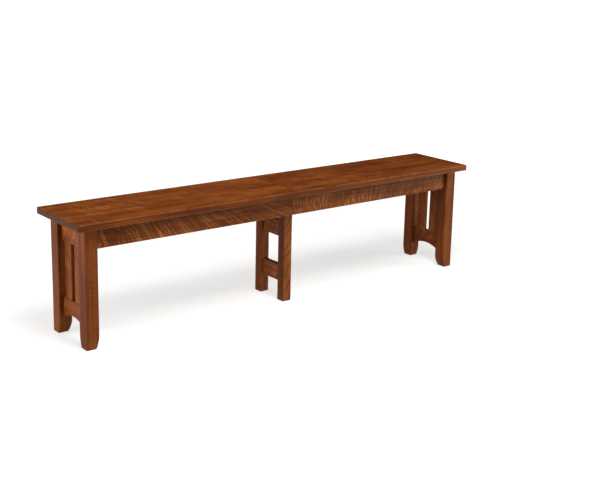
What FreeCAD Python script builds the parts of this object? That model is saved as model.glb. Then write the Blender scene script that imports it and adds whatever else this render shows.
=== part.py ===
import FreeCAD, Part
import math
import os

# An extending oak bench. Two halves meet over a fixed centre frame and are drawn
# apart on two sets of wooden slides. A pinion in each set drives a rack on either
# half, so the halves move by the same amount in opposite ways.
# Origin: middle of the closed bench, on the floor. X runs along the length,
# the front is at -Y and Z is up. Lengths are in millimetres.

Vector = FreeCAD.Vector
UP = Vector(0, 0, 1)

# Seat
closed_length = 1830.0
seat_depth = 313.0
bench_height = 452.5
seat_thickness = 24.0
seat_edge_chamfer = 1.8
seat_corner_radius = 4.0
seam_gap = 0.5
travel = 305.0

# End legs
leg_size = 49.0
end_overhang = 36.0
side_overhang = 31.5
leg_edge_chamfer = 1.2
foot_curve_height = 50.0
foot_curve_inset = 12.0
foot_chamfer = 2.5

# Aprons
apron_setback = 13.8
apron_thickness = 18.0
apron_height = 78.5
arris = 1.0
apron_tenon_length = 18.0
apron_tenon_thickness = 8.0

# End rails and slats
rail_setback = 17.0
rail_thickness = 17.0
upper_rail_height = 82.5
lower_rail_top = 139.5
lower_rail_height = 76.5
lower_rail_arch = 21.0
rail_tenon_length = 20.0
rail_tenon_thickness = 8.0
slat_thickness = 14.0
slat_middle_gap = 24.0
slat_side_gap = 15.5
slat_tongue_length = 8.0
slat_tongue_thickness = 8.0

# Every tenon and tongue is narrower than its piece by this much at each edge
tenon_shoulder = 8.0
glue_gap = 0.1
mortise_end_gap = 1.0

# Centre frame
centre_leg_size = 38.0
centre_leg_clearance = 0.7
centre_leg_edge_chamfer = 1.2
stretcher_thickness = 19.0
stretcher_height = 65.0
upper_stretcher_drop = 36.0
stretcher_tenon_length = 20.0
stretcher_tenon_thickness = 8.0
bolster_width = 70.0
bolster_height = 24.5
leg_top_tenon = 22.0
leg_top_tenon_length = 18.0

# Slides
packing_thickness = 3.0
outer_member_width = 22.0
outer_member_height = 44.5
middle_member_height = 44.5
middle_member_length = 660.0
outer_member_outboard = 420.0
outer_member_inboard = 335.0
slide_side_clearance = 2.7
slide_gap = 0.5
slide_drop = 1.5
tongue_neck = 12.0
tongue_head = 18.0
tongue_depth = 8.0
tongue_above_bolster = 15.5
packing_inboard = 20.0

# Racks and pinions
gear_module = 3.5
pinion_teeth = 10
pressure_angle = math.radians(25.0)
dedendum_factor = 1.25
backlash = 0.3
rack_height = 10.0
rack_tip_clearance = 1.0
rack_back = 4.125
rack_spare_pitches = 2
pinion_face = 8.0
pinion_end_gap = 0.3
pinion_bore_gap = 0.08
pocket_gap = 2.0
pocket_depth = 13.0
axle_diameter = 8.0
axle_flange_diameter = 14.0
axle_flange_height = 1.0
axle_head_width = 13.0
axle_head_height = 2.0
axle_screw_diameter = 6.0
axle_screw_length = 16.0

# Stops in the slides
stop_pin_diameter = 5.0
stop_pin_reach = 5.0
stop_pin_depth = 4.0
stop_gap = 0.5
stop_from_centre = 300.0

# Cleats, corner braces and fixings. Screws, bolts, stop pins and their holes repeat,
# so they are drawn with a few flat sides in place of round ones.
fixing_sides = 12
cleat_width = 40.0
cleat_height = 19.0
cleat_from_slide = 70.0
cleat_from_rail = 135.0
brace_thickness = 19.0
brace_height = 50.0
brace_reach = 45.0
brace_drop = 8.5
screw_diameter = 5.0
screw_head_diameter = 10.0
screw_head_height = 2.6
screw_grip = 15.0
fixing_gap = 0.1
slide_screw_places = (110.0, 385.0)
bolster_screw_spacing = 44.0
leg_bolt_diameter = 8.0
leg_bolt_grip = 22.0
nut_across_flats = 13.0
nut_height = 6.5
washer_diameter = 20.0
washer_thickness = 1.6
bolt_end = 3.0

# Alignment pins in the seam
pin_diameter = 8.0
pin_spacing = 200.0
pin_reach = 12.0
pin_depth = 25.0
pin_hole_gap = 0.3
pin_end_gap = 2.0

# Levels and faces that follow from the sizes above
underside = bench_height - seat_thickness
seat_end = closed_length / 2
leg_outer_x = seat_end - end_overhang
leg_inner_x = leg_outer_x - leg_size
leg_outer_y = seat_depth / 2 - side_overhang
leg_inner_y = leg_outer_y - leg_size
apron_outer_y = leg_outer_y - apron_setback
apron_inner_y = apron_outer_y - apron_thickness
apron_middle_y = (apron_outer_y + apron_inner_y) / 2
rail_outer_x = leg_outer_x - rail_setback
rail_inner_x = rail_outer_x - rail_thickness
rail_middle_x = (rail_outer_x + rail_inner_x) / 2
slat_width = leg_inner_y - slat_side_gap - slat_middle_gap / 2
slat_offset = (slat_middle_gap + slat_width) / 2
upper_rail_bottom = underside - upper_rail_height
lower_rail_bottom = lower_rail_top - lower_rail_height
centre_leg_outer_y = apron_inner_y - centre_leg_clearance
centre_leg_inner_y = centre_leg_outer_y - centre_leg_size
centre_leg_middle_y = (centre_leg_outer_y + centre_leg_inner_y) / 2
outer_top = underside - packing_thickness
outer_bottom = outer_top - outer_member_height
bolster_top = outer_bottom - slide_drop
bolster_bottom = bolster_top - bolster_height
middle_top = bolster_top + middle_member_height
tongue_level = bolster_top + tongue_above_bolster
lower_stretcher_bottom = lower_rail_top - stretcher_height
upper_stretcher_bottom = bolster_bottom - upper_stretcher_drop - stretcher_height
pitch = math.pi * gear_module
pitch_radius = gear_module * pinion_teeth / 2
middle_half_width = pitch_radius - gear_module - rack_tip_clearance
member_inner = middle_half_width + slide_gap
member_outer = member_inner + outer_member_width
member_middle = (member_inner + member_outer) / 2
set_y = apron_inner_y - slide_side_clearance - member_outer
web = middle_half_width - tongue_depth
tip_radius = pitch_radius + gear_module
root_radius = pitch_radius - dedendum_factor * gear_module
base_radius = pitch_radius * math.cos(pressure_angle)
rack_root = pitch_radius + dedendum_factor * gear_module
rack_outer = rack_root + rack_back
rack_bottom = middle_top - pocket_depth
pinion_bottom = rack_bottom + axle_flange_height + pinion_end_gap
pinion_top = pinion_bottom + pinion_face
member_places = (set_y + member_middle, -set_y + member_middle)
cleat_places = (outer_member_outboard + cleat_from_slide, rail_inner_x - cleat_from_rail)
cleat_screw_length = cleat_height + screw_grip
slide_screw_length = outer_member_height + packing_thickness + screw_grip
bolster_screw_length = bolster_height + screw_grip
diagonal = Vector(1, 1, 0).normalize()
brace_middle = underside - brace_drop - brace_height / 2
brace_apron_x = rail_inner_x - (apron_inner_y - leg_inner_y) - brace_reach
leg_corner = Vector(leg_inner_x, leg_inner_y, brace_middle)
corner_to_brace = (leg_inner_x + leg_inner_y - brace_apron_x - apron_inner_y) / math.sqrt(2)


def block(x0, x1, y0, y1, z0, z1):
    """A box between two values on each axis."""
    return Part.makeBox(x1 - x0, y1 - y0, z1 - z0, Vector(x0, y0, z0))


def rod(diameter, start, direction, length):
    """A round bar from a point along a direction."""
    return Part.makeCylinder(diameter / 2, length, start, direction)


def polygon(sides, across_flats, centre, direction):
    """A regular polygon round a point, facing along a direction."""
    corner = across_flats / 2 / math.cos(math.pi / sides)
    points = []
    for side in range(sides):
        angle = (2 * side + 1) * math.pi / sides
        points.append(Vector(corner * math.cos(angle), corner * math.sin(angle), 0))
    wire = Part.makePolygon(points + points[:1])
    wire.Placement = FreeCAD.Placement(centre, FreeCAD.Rotation(UP, direction))
    return wire


def bar(sides, across_flats, start, direction, length):
    """A flat-sided bar from a point along a direction."""
    return Part.Face(polygon(sides, across_flats, start, direction)).extrude(direction * length)


def prism(outline, direction):
    """A face between the points or edges of an outline, drawn along a direction."""
    if isinstance(outline[0], Vector):
        wire = Part.makePolygon(outline + outline[:1])
    else:
        wire = Part.Wire(outline)
    return Part.Face(wire).extrude(direction)


def flipped(shape):
    """The same piece on the other side of the bench, front for back."""
    return shape.mirror(Vector(0, 0, 0), Vector(0, 1, 0))


def turned(shape):
    """The same piece in the other half, turned half round about the centre."""
    copy = shape.copy()
    copy.rotate(Vector(0, 0, 0), UP, 180)
    return copy


def group(shapes):
    """Separate solids kept as one node."""
    return Part.makeCompound(shapes)


def edges_along(shape, axis, test):
    """Straight edges parallel to an axis whose midpoint passes a test."""
    found = []
    for edge in shape.Edges:
        if not isinstance(edge.Curve, Part.Line):
            continue
        along = edge.Vertexes[-1].Point - edge.Vertexes[0].Point
        if along.cross(axis).Length < 1e-6 * along.Length and test(edge.CenterOfMass):
            found.append(edge)
    return found


def tenon_y(middle_x, y0, y1, z0, z1, thickness, gap):
    """A tenon or its mortise, along Y."""
    half = thickness / 2 + gap
    return block(middle_x - half, middle_x + half, y0, y1, z0 - gap, z1 + gap)


def tenon_x(x0, x1, middle_y, z0, z1, thickness, gap):
    """A tenon or its mortise, along X."""
    half = thickness / 2 + gap
    return block(x0, x1, middle_y - half, middle_y + half, z0 - gap, z1 + gap)


def stepped(outlines):
    """A solid with flat sides between polygons that have as many corners."""
    faces = [Part.Face(outlines[0]), Part.Face(outlines[-1])]
    for first, second in zip(outlines, outlines[1:]):
        near = [vertex.Point for vertex in first.OrderedVertexes]
        far = [vertex.Point for vertex in second.OrderedVertexes]
        for corner in range(len(near)):
            after = (corner + 1) % len(near)
            side = [near[corner], near[after], far[after], far[corner], near[corner]]
            faces.append(Part.Face(Part.makePolygon(side)))
    solid = Part.Solid(Part.Shell(faces))
    if solid.Volume < 0:
        solid.reverse()
    return solid


def screw(point, direction, length, gap=0.0):
    """A countersunk screw with its head flush at the point, or its hole, wider by a gap."""
    shank = screw_diameter + 2 * gap
    head = polygon(fixing_sides, screw_head_diameter + 2 * gap, point, direction)
    neck = polygon(fixing_sides, shank, point + direction * screw_head_height, direction)
    tip = polygon(fixing_sides, shank, point + direction * (length + gap), direction)
    return stepped([head, neck, tip])


def screw_hole(point, direction, length):
    """The hole for a screw, with its countersink."""
    return screw(point, direction, length, fixing_gap)


def foot_profile(outer, inner, across):
    """Side view of an end leg: the inner face curves in to the foot."""
    radius = (foot_curve_height ** 2 + foot_curve_inset ** 2) / (2 * foot_curve_inset)
    sign = math.copysign(1.0, outer - inner)
    foot = inner + sign * foot_curve_inset

    def on_curve(height):
        drop = foot_curve_height - height
        return inner + sign * (radius - math.sqrt(radius ** 2 - drop ** 2))

    start = across(on_curve(foot_chamfer), foot_chamfer)
    middle = across(on_curve(foot_curve_height / 2), foot_curve_height / 2)
    end = across(inner, foot_curve_height)
    return [
        Part.Arc(start, middle, end).toShape(),
        Part.makeLine(end, across(inner, underside)),
        Part.makeLine(across(inner, underside), across(outer, underside)),
        Part.makeLine(across(outer, underside), across(outer, foot_chamfer)),
        Part.makeLine(across(outer, foot_chamfer), across(outer - sign * foot_chamfer, 0)),
        Part.makeLine(across(outer - sign * foot_chamfer, 0), across(foot + sign * foot_chamfer, 0)),
        Part.makeLine(across(foot + sign * foot_chamfer, 0), start),
    ]


def apron_tenon(gap, end_gap):
    """The apron's tenon in the back leg of the right half, or its mortise."""
    return tenon_x(leg_inner_x, leg_inner_x + apron_tenon_length + end_gap, apron_middle_y,
                   underside - apron_height + tenon_shoulder, underside - tenon_shoulder,
                   apron_tenon_thickness, gap)


def rail_tenon(bottom, top, gap, end_gap):
    """A rail's tenon in the back leg of the right half, or its mortise."""
    return tenon_y(rail_middle_x, leg_inner_y, leg_inner_y + rail_tenon_length + end_gap,
                   bottom + tenon_shoulder, top - tenon_shoulder, rail_tenon_thickness, gap)


def leg_bolt_hole():
    """The diagonal hole in a leg's inner corner for its bolt."""
    depth = leg_bolt_grip + mortise_end_gap
    return bar(fixing_sides, leg_bolt_diameter + 2 * fixing_gap, leg_corner, diagonal, depth)


def leg():
    """Back leg of the right half."""
    along = prism(foot_profile(leg_outer_x, leg_inner_x, lambda s, z: Vector(s, leg_inner_y, z)),
                  Vector(0, leg_size, 0))
    across = prism(foot_profile(leg_outer_y, leg_inner_y, lambda s, z: Vector(leg_inner_x, s, z)),
                   Vector(leg_size, 0, 0))
    post = along.common(across)
    post = post.makeChamfer(leg_edge_chamfer, edges_along(post, UP, lambda p: True))
    post = post.cut(apron_tenon(glue_gap, mortise_end_gap))
    post = post.cut(rail_tenon(upper_rail_bottom, underside, glue_gap, mortise_end_gap))
    post = post.cut(rail_tenon(lower_rail_bottom, lower_rail_top, glue_gap, mortise_end_gap))
    return post.cut(leg_bolt_hole())


def apron():
    """Back apron of the right half, with its tenon at the leg."""
    bottom = underside - apron_height
    board = block(seam_gap / 2, leg_inner_x, apron_inner_y, apron_outer_y, bottom, underside)
    lower = edges_along(board, Vector(1, 0, 0), lambda p: p.z < bottom + 1)
    board = board.makeChamfer(arris, lower)
    return board.fuse(apron_tenon(0, 0)).removeSplitter()


def slat_tongue(y, z0, z1, gap):
    """A slat's tongue in a rail, or its mortise."""
    half = slat_width / 2 - tenon_shoulder
    thick = slat_tongue_thickness / 2 + gap
    return block(rail_middle_x - thick, rail_middle_x + thick, y - half - gap, y + half + gap, z0, z1)


def slat():
    """Back slat of the right half."""
    half = slat_width / 2
    board = block(rail_middle_x - slat_thickness / 2, rail_middle_x + slat_thickness / 2,
                  slat_offset - half, slat_offset + half, lower_rail_top, upper_rail_bottom)
    board = board.makeChamfer(arris, edges_along(board, UP, lambda p: True))
    board = board.fuse(slat_tongue(slat_offset, lower_rail_top - slat_tongue_length, lower_rail_top, 0))
    board = board.fuse(slat_tongue(slat_offset, upper_rail_bottom,
                                   upper_rail_bottom + slat_tongue_length, 0))
    return board.removeSplitter()


def upper_rail():
    """Upper rail of the right end frame, with mortises for the slats."""
    rail = block(rail_inner_x, rail_outer_x, -leg_inner_y, leg_inner_y, upper_rail_bottom, underside)
    tenon = rail_tenon(upper_rail_bottom, underside, 0, 0)
    rail = rail.fuse([tenon, flipped(tenon)]).removeSplitter()
    top = upper_rail_bottom + slat_tongue_length + mortise_end_gap
    for y in (-slat_offset, slat_offset):
        rail = rail.cut(slat_tongue(y, upper_rail_bottom, top, glue_gap))
    return rail


def lower_rail():
    """Arched lower rail of the right end frame, with mortises for the slats."""
    left = Vector(rail_inner_x, -leg_inner_y, lower_rail_bottom)
    crown = Vector(rail_inner_x, 0, lower_rail_bottom + lower_rail_arch)
    right = Vector(rail_inner_x, leg_inner_y, lower_rail_bottom)
    rise = Vector(0, 0, lower_rail_height)
    outline = [
        Part.Arc(left, crown, right).toShape(),
        Part.makeLine(right, right + rise),
        Part.makeLine(right + rise, left + rise),
        Part.makeLine(left + rise, left),
    ]
    rail = prism(outline, Vector(rail_thickness, 0, 0))
    tenon = rail_tenon(lower_rail_bottom, lower_rail_top, 0, 0)
    rail = rail.fuse([tenon, flipped(tenon)]).removeSplitter()
    bottom = lower_rail_top - slat_tongue_length - mortise_end_gap
    for y in (-slat_offset, slat_offset):
        rail = rail.cut(slat_tongue(y, bottom, lower_rail_top, glue_gap))
    return rail


def cleat_screw_points():
    """Where the screws enter the cleats of the right half: mid-width, so the seat can move."""
    return [Vector(x, 0, underside - cleat_height) for x in cleat_places]


def slide_screw_points(y):
    """Where the screws enter one outer slide member of the right half."""
    return [Vector(x, y, outer_bottom) for x in slide_screw_places]


def seat_rims(seat):
    """The edges round the seat's two faces, apart from those in the seam."""
    rims = []
    for edge in seat.Edges:
        level = abs(edge.tangentAt(edge.FirstParameter).z) < 0.5
        if level and edge.CenterOfMass.x > seam_gap:
            rims.append(edge)
    return rims


def seat_top():
    """Seat of the right half, its outer edges eased and its seam edge square."""
    seat = block(seam_gap / 2, seat_end, -seat_depth / 2, seat_depth / 2, underside, bench_height)
    corners = edges_along(seat, UP, lambda p: p.x > seat_end - 1)
    seat = seat.makeFillet(seat_corner_radius, corners)
    seat = seat.makeChamfer(seat_edge_chamfer, seat_rims(seat))
    for point in cleat_screw_points():
        seat = seat.cut(screw_hole(point, UP, cleat_screw_length))
    for y in member_places:
        for point in slide_screw_points(y):
            seat = seat.cut(screw_hole(point, UP, slide_screw_length))
    return seat


def pin_points():
    """Centres of the alignment pins in the seam."""
    level = underside + seat_thickness / 2
    return [Vector(0, y, level) for y in (-pin_spacing / 2, pin_spacing / 2)]


def pin_socket(diameter, depth, direction):
    """Holes for the alignment pins in one half's seam edge."""
    return group([rod(diameter, p, Vector(direction, 0, 0), depth) for p in pin_points()])


def alignment_pins():
    """Steel pins fixed in the left half, chamfered to find their holes."""
    pins = []
    for point in pin_points():
        start = point - Vector(pin_depth, 0, 0)
        pin = rod(pin_diameter, start, Vector(1, 0, 0), pin_depth + pin_reach)
        tip = [e for e in pin.Edges if e.CenterOfMass.x > pin_reach - 1 and len(e.Vertexes) == 1]
        pins.append(pin.makeChamfer(pin_diameter / 5, tip))
    return group(pins)


def rack(y):
    """Rack of the right half in the slide set at y: its teeth point to the pinion."""
    half_tooth = pitch / 4 - backlash / 4
    tip_half = half_tooth - gear_module * math.tan(pressure_angle)
    root_half = half_tooth + dedendum_factor * gear_module * math.tan(pressure_angle)
    tips = y + pitch_radius - gear_module
    roots = y + rack_root
    last = rack_spare_pitches
    first = -math.ceil(travel / pitch) - rack_spare_pitches
    outline = [
        Vector(first * pitch, y + rack_outer, rack_bottom),
        Vector(first * pitch, roots, rack_bottom),
    ]
    for tooth in range(first, last):
        centre = (tooth + 0.5) * pitch
        outline.append(Vector(centre - root_half, roots, rack_bottom))
        outline.append(Vector(centre - tip_half, tips, rack_bottom))
        outline.append(Vector(centre + tip_half, tips, rack_bottom))
        outline.append(Vector(centre + root_half, roots, rack_bottom))
    outline.append(Vector(last * pitch, roots, rack_bottom))
    outline.append(Vector(last * pitch, y + rack_outer, rack_bottom))
    return prism(outline, Vector(0, 0, rack_height))


def pinion(y):
    """Pinion with involute flanks drawn as arcs, between flat tips and roots."""
    involute_at_pitch = math.tan(pressure_angle) - pressure_angle
    half_at_pitch = math.pi / (2 * pinion_teeth) - backlash / (4 * pitch_radius)

    def flank(radius, side, middle):
        roll = math.acos(min(1.0, base_radius / radius))
        half = half_at_pitch + involute_at_pitch - (math.tan(roll) - roll)
        angle = middle + side * half
        return Vector(radius * math.cos(angle), y + radius * math.sin(angle), pinion_bottom)

    def at(radius, angle):
        return Vector(radius * math.cos(angle), y + radius * math.sin(angle), pinion_bottom)

    step = 2 * math.pi / pinion_teeth
    half_at_base = half_at_pitch + involute_at_pitch
    middle_radius = (base_radius + tip_radius) / 2
    edges = []
    for tooth in range(pinion_teeth):
        middle = math.pi / 2 + tooth * step
        root = [at(root_radius, middle + side * half_at_base) for side in (-1, 1)]
        base = [flank(base_radius, side, middle) for side in (-1, 1)]
        tip = [flank(tip_radius, side, middle) for side in (-1, 1)]
        edges.append(Part.makeLine(root[0], base[0]))
        edges.append(Part.Arc(base[0], flank(middle_radius, -1, middle), tip[0]).toShape())
        edges.append(Part.makeLine(tip[0], tip[1]))
        edges.append(Part.Arc(tip[1], flank(middle_radius, 1, middle), base[1]).toShape())
        edges.append(Part.makeLine(base[1], root[1]))
        next_root = at(root_radius, middle + step - half_at_base)
        edges.append(Part.makeLine(root[1], next_root))
    gear = prism(edges, Vector(0, 0, pinion_face))
    bore = axle_diameter + 2 * pinion_bore_gap
    return gear.cut(rod(bore, Vector(0, y, pinion_bottom), UP, pinion_face))


def dovetail(y, x0, x1, gap):
    """The tongue on a right-half slide member, or its groove."""
    neck = tongue_neck / 2 + gap
    head = tongue_head / 2 + gap
    start = y + member_inner
    end = start - tongue_depth
    outline = [
        Vector(x0, start, tongue_level - neck),
        Vector(x0, start, tongue_level + neck),
        Vector(x0, end, tongue_level + head),
        Vector(x0, end, tongue_level - head),
    ]
    return prism(outline, Vector(x1 - x0, 0, 0))


def outer_member(y):
    """Outer slide member of the right half, on the back side of the set at y."""
    inboard = -outer_member_inboard
    outboard = outer_member_outboard
    member = block(inboard, outboard, y + member_inner, y + member_outer, outer_bottom, outer_top)
    member = member.fuse(dovetail(y, inboard, outboard, 0)).removeSplitter()
    rebate_end = max(rack_spare_pitches * pitch + fixing_gap, tip_radius + pocket_gap)
    rebate = block(inboard, rebate_end, y + member_inner, y + rack_outer, rack_bottom, outer_top)
    member = member.cut(rebate)
    slot_height = stop_pin_diameter + 2 * stop_gap
    slot_start = stop_from_centre - travel
    floor = y + member_inner - tongue_depth
    depth = stop_pin_reach + stop_gap + slide_gap
    slot = block(slot_start, stop_from_centre, floor, floor + depth,
                 tongue_level - slot_height / 2, tongue_level + slot_height / 2)
    for x in (slot_start, stop_from_centre):
        end = Vector(x, floor, tongue_level)
        slot = slot.fuse(bar(fixing_sides, slot_height, end, Vector(0, 1, 0), depth))
    member = member.cut(slot)
    for point in slide_screw_points(y + member_middle):
        member = member.cut(screw_hole(point, UP, slide_screw_length))
    return member


def packing_strips():
    """Strips that hold the outer members clear of the other half's underside."""
    strips = []
    for y in member_places:
        strip = block(packing_inboard, outer_member_outboard, y - outer_member_width / 2,
                      y + outer_member_width / 2, outer_top, underside)
        for point in slide_screw_points(y):
            strip = strip.cut(screw_hole(point, UP, slide_screw_length))
        strips.append(strip)
    return group(strips)


def cleats():
    """Cross cleats that keep the seat flat, screwed up into it."""
    bars = []
    for x in cleat_places:
        bar = block(x - cleat_width / 2, x + cleat_width / 2, -apron_inner_y, apron_inner_y,
                    underside - cleat_height, underside)
        for point in cleat_screw_points():
            bar = bar.cut(screw_hole(point, UP, cleat_screw_length))
        bars.append(bar)
    return group(bars)


def screws():
    """Screws of the right half, through the cleats and the slide members."""
    pieces = [screw(point, UP, cleat_screw_length) for point in cleat_screw_points()]
    for y in member_places:
        pieces += [screw(point, UP, slide_screw_length) for point in slide_screw_points(y)]
    return group(pieces)


def corner_brace():
    """Mitred brace between the back apron and the right end's upper rail."""
    half = brace_thickness / math.sqrt(2)
    rail_y = apron_inner_y - (rail_inner_x - brace_apron_x)
    bottom = brace_middle - brace_height / 2
    outline = [
        Vector(brace_apron_x - half, apron_inner_y, bottom),
        Vector(brace_apron_x + half, apron_inner_y, bottom),
        Vector(rail_inner_x, rail_y + half, bottom),
        Vector(rail_inner_x, rail_y - half, bottom),
    ]
    brace = prism(outline, Vector(0, 0, brace_height))
    hole = leg_bolt_diameter + 2 * fixing_gap
    length = corner_to_brace + brace_thickness
    return brace.cut(bar(fixing_sides, hole, leg_corner, diagonal * -1, length))


def leg_bolt():
    """Bolt, washer and nut that pull the right half's back leg to its brace."""
    inwards = diagonal * -1
    inner_face = leg_corner + inwards * (corner_to_brace + brace_thickness / 2)
    nut_face = inner_face + inwards * washer_thickness
    start = leg_corner - inwards * leg_bolt_grip
    length = (nut_face - start).Length + nut_height + bolt_end
    hole = leg_bolt_diameter + 2 * fixing_gap
    bolt = bar(fixing_sides, leg_bolt_diameter, start, inwards, length)
    bore = bar(fixing_sides, hole, inner_face, inwards, washer_thickness + nut_height)
    washer = bar(fixing_sides, washer_diameter, inner_face, inwards, washer_thickness)
    nut = bar(6, nut_across_flats, nut_face, inwards, nut_height)
    return [bolt, washer.cut(bore), nut.cut(bore)]


def centre_leg():
    """Back leg of the centre frame."""
    half = centre_leg_size / 2
    post = block(-half, half, centre_leg_inner_y, centre_leg_outer_y, 0, bolster_bottom)
    sole = [e for e in post.Edges if e.CenterOfMass.z < foot_chamfer / 2]
    post = post.makeChamfer(foot_chamfer, sole)
    post = post.makeChamfer(centre_leg_edge_chamfer, edges_along(post, UP, lambda p: True))
    post = post.fuse(leg_top(0, 0)).removeSplitter()
    for bottom in (lower_stretcher_bottom, upper_stretcher_bottom):
        post = post.cut(stretcher_tenon(bottom, glue_gap, mortise_end_gap))
    return post


def leg_top(gap, end_gap):
    """Square tenon on top of the back centre leg, or its mortise."""
    half = leg_top_tenon / 2 + gap
    top = bolster_bottom + leg_top_tenon_length + end_gap
    return block(-half, half, centre_leg_middle_y - half, centre_leg_middle_y + half, bolster_bottom, top)


def stretcher_tenon(bottom, gap, end_gap):
    """A stretcher's tenon in the back centre leg, or its mortise."""
    return tenon_y(0, centre_leg_inner_y, centre_leg_inner_y + stretcher_tenon_length + end_gap,
                   bottom + tenon_shoulder, bottom + stretcher_height - tenon_shoulder,
                   stretcher_tenon_thickness, gap)


def stretcher(bottom):
    """A stretcher between the centre legs."""
    half = stretcher_thickness / 2
    board = block(-half, half, -centre_leg_inner_y, centre_leg_inner_y, bottom, bottom + stretcher_height)
    board = board.makeChamfer(arris, edges_along(board, Vector(0, 1, 0), lambda p: True))
    tenon = stretcher_tenon(bottom, 0, 0)
    return board.fuse([tenon, flipped(tenon)]).removeSplitter()


def bolster_screw_points():
    """Where the screws enter the bolster from below."""
    places = (-bolster_screw_spacing / 2, bolster_screw_spacing / 2)
    return [Vector(x, y, bolster_bottom) for x in places for y in (-set_y, set_y)]


def bolster():
    """Top member of the centre frame, under the slides."""
    half = bolster_width / 2
    beam = block(-half, half, -centre_leg_outer_y, centre_leg_outer_y, bolster_bottom, bolster_top)
    mortise = leg_top(glue_gap, mortise_end_gap)
    beam = beam.cut([mortise, flipped(mortise)])
    for point in bolster_screw_points():
        beam = beam.cut(screw_hole(point, UP, bolster_screw_length))
    return beam


def stop_pin(y):
    """Stop pin of the right half's member in the set at y."""
    start = Vector(stop_from_centre, y + web - stop_pin_depth, tongue_level)
    length = stop_pin_depth + stop_pin_reach
    return bar(fixing_sides, stop_pin_diameter, start, Vector(0, 1, 0), length)


def axle(y):
    """Shouldered screw that carries a pinion: a round journal under a hexagon head."""
    base = Vector(0, y, rack_bottom)
    over = Vector(0, y, pinion_top + pinion_end_gap)
    journal = rod(axle_diameter, base, UP, (over - base).Length)
    shoulder = bar(fixing_sides, axle_flange_diameter, base, UP, axle_flange_height)
    head = bar(6, axle_head_width, over, UP, axle_head_height)
    shank = bar(fixing_sides, axle_screw_diameter, base, UP * -1, axle_screw_length)
    return journal.fuse([shoulder, head, shank]).removeSplitter()


def middle_member(y):
    """Fixed slide member, grooved on both sides and pocketed for the pinion."""
    half = middle_member_length / 2
    wide = middle_half_width
    member = block(-half, half, y - wide, y + wide, bolster_top, middle_top)
    groove = dovetail(y, -half, half, slide_gap)
    groove = groove.fuse(dovetail_floor(y, -half, half))
    member = member.cut(groove)
    turned_groove = groove.copy()
    turned_groove.rotate(Vector(0, y, 0), UP, 180)
    member = member.cut(turned_groove)
    reach = tip_radius + pocket_gap
    member = member.cut(block(-reach, reach, y - wide, y + wide, rack_bottom, middle_top))
    hole = axle_screw_diameter + 2 * fixing_gap
    depth = axle_screw_length + fixing_gap
    member = member.cut(bar(fixing_sides, hole, Vector(0, y, rack_bottom), UP * -1, depth))
    for pin in (stop_pin_hole(y), turned_about(stop_pin_hole(y), y)):
        member = member.cut(pin)
    for point in bolster_screw_points():
        member = member.cut(screw_hole(point, UP, bolster_screw_length))
    return member


def dovetail_floor(y, x0, x1):
    """Clearance between the tongue's end and the groove's floor."""
    end = y + member_inner - tongue_depth
    head = tongue_head / 2 + slide_gap
    return block(x0, x1, end - slide_gap, end, tongue_level - head, tongue_level + head)


def stop_pin_hole(y):
    """Hole for a stop pin in the web of a middle member."""
    start = Vector(stop_from_centre, y + web - stop_pin_depth - fixing_gap, tongue_level)
    hole = stop_pin_diameter + 2 * fixing_gap
    return bar(fixing_sides, hole, start, Vector(0, 1, 0), tongue_depth)


def turned_about(shape, y):
    """A shape turned half round about the centre of the slide set at y."""
    copy = shape.copy()
    copy.rotate(Vector(0, y, 0), UP, 180)
    return copy


def right_half():
    """Every piece of the right half, by the name that it has there."""
    bolt = leg_bolt()
    return {
        "seat_top": seat_top(),
        "leg_back": leg(),
        "leg_front": flipped(leg()),
        "apron_back": apron(),
        "apron_front": flipped(apron()),
        "upper_rail": upper_rail(),
        "lower_rail": lower_rail(),
        "slat_back": slat(),
        "slat_front": flipped(slat()),
        "slide_back": outer_member(set_y),
        "slide_front": outer_member(-set_y),
        "rack_back": rack(set_y),
        "rack_front": rack(-set_y),
        "packing_strips": packing_strips(),
        "cleats": cleats(),
        "corner_braces": group([corner_brace(), flipped(corner_brace())]),
        "leg_bolts": group(bolt + [flipped(piece) for piece in bolt]),
        "screws": screws(),
    }


def centre_frame():
    """Every piece of the fixed centre frame, and the two pinions."""
    pins = [stop_pin(y) for y in (-set_y, set_y)]
    pins += [turned_about(stop_pin(y), y) for y in (-set_y, set_y)]
    return {
        "centre_leg_back": centre_leg(),
        "centre_leg_front": flipped(centre_leg()),
        "centre_lower_stretcher": stretcher(lower_stretcher_bottom),
        "centre_upper_stretcher": stretcher(upper_stretcher_bottom),
        "slide_bolster": bolster(),
        "slide_middle_back": middle_member(set_y),
        "slide_middle_front": middle_member(-set_y),
        "pinion_axles": group([axle(-set_y), axle(set_y)]),
        "stop_pins": group(pins),
        "bolster_screws": group([screw(p, UP, bolster_screw_length) for p in bolster_screw_points()]),
        "pinion_back": pinion(set_y),
        "pinion_front": pinion(-set_y),
    }


def other_side(name):
    """The name that a right-half piece has once it is turned into the left half."""
    if "front" in name:
        return name.replace("front", "back")
    return name.replace("back", "front")


def build():
    """All nodes by name."""
    half = right_half()
    nodes = centre_frame()
    for name, shape in half.items():
        nodes["left_" + other_side(name)] = turned(shape)
        nodes["right_" + name] = shape
    socket = pin_diameter + 2 * pin_hole_gap
    fixed = pin_diameter + 2 * fixing_gap
    nodes["right_seat_top"] = nodes["right_seat_top"].cut(pin_socket(socket, pin_reach + pin_end_gap, 1))
    nodes["left_seat_top"] = nodes["left_seat_top"].cut(pin_socket(fixed, pin_depth + fixing_gap, -1))
    nodes["left_alignment_pins"] = alignment_pins()
    return nodes


os.makedirs("parts", exist_ok=True)
for node, solid in build().items():
    if not solid.isValid():
        raise ValueError(node + " is not a valid solid")
    solid.exportStep("parts/" + node + ".step")
    print(node, len(solid.Solids), "solids", round(solid.Volume / 1000, 1), "cm3")
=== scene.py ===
import math

import bmesh
import bpy
from mathutils import Matrix, Vector


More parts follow.
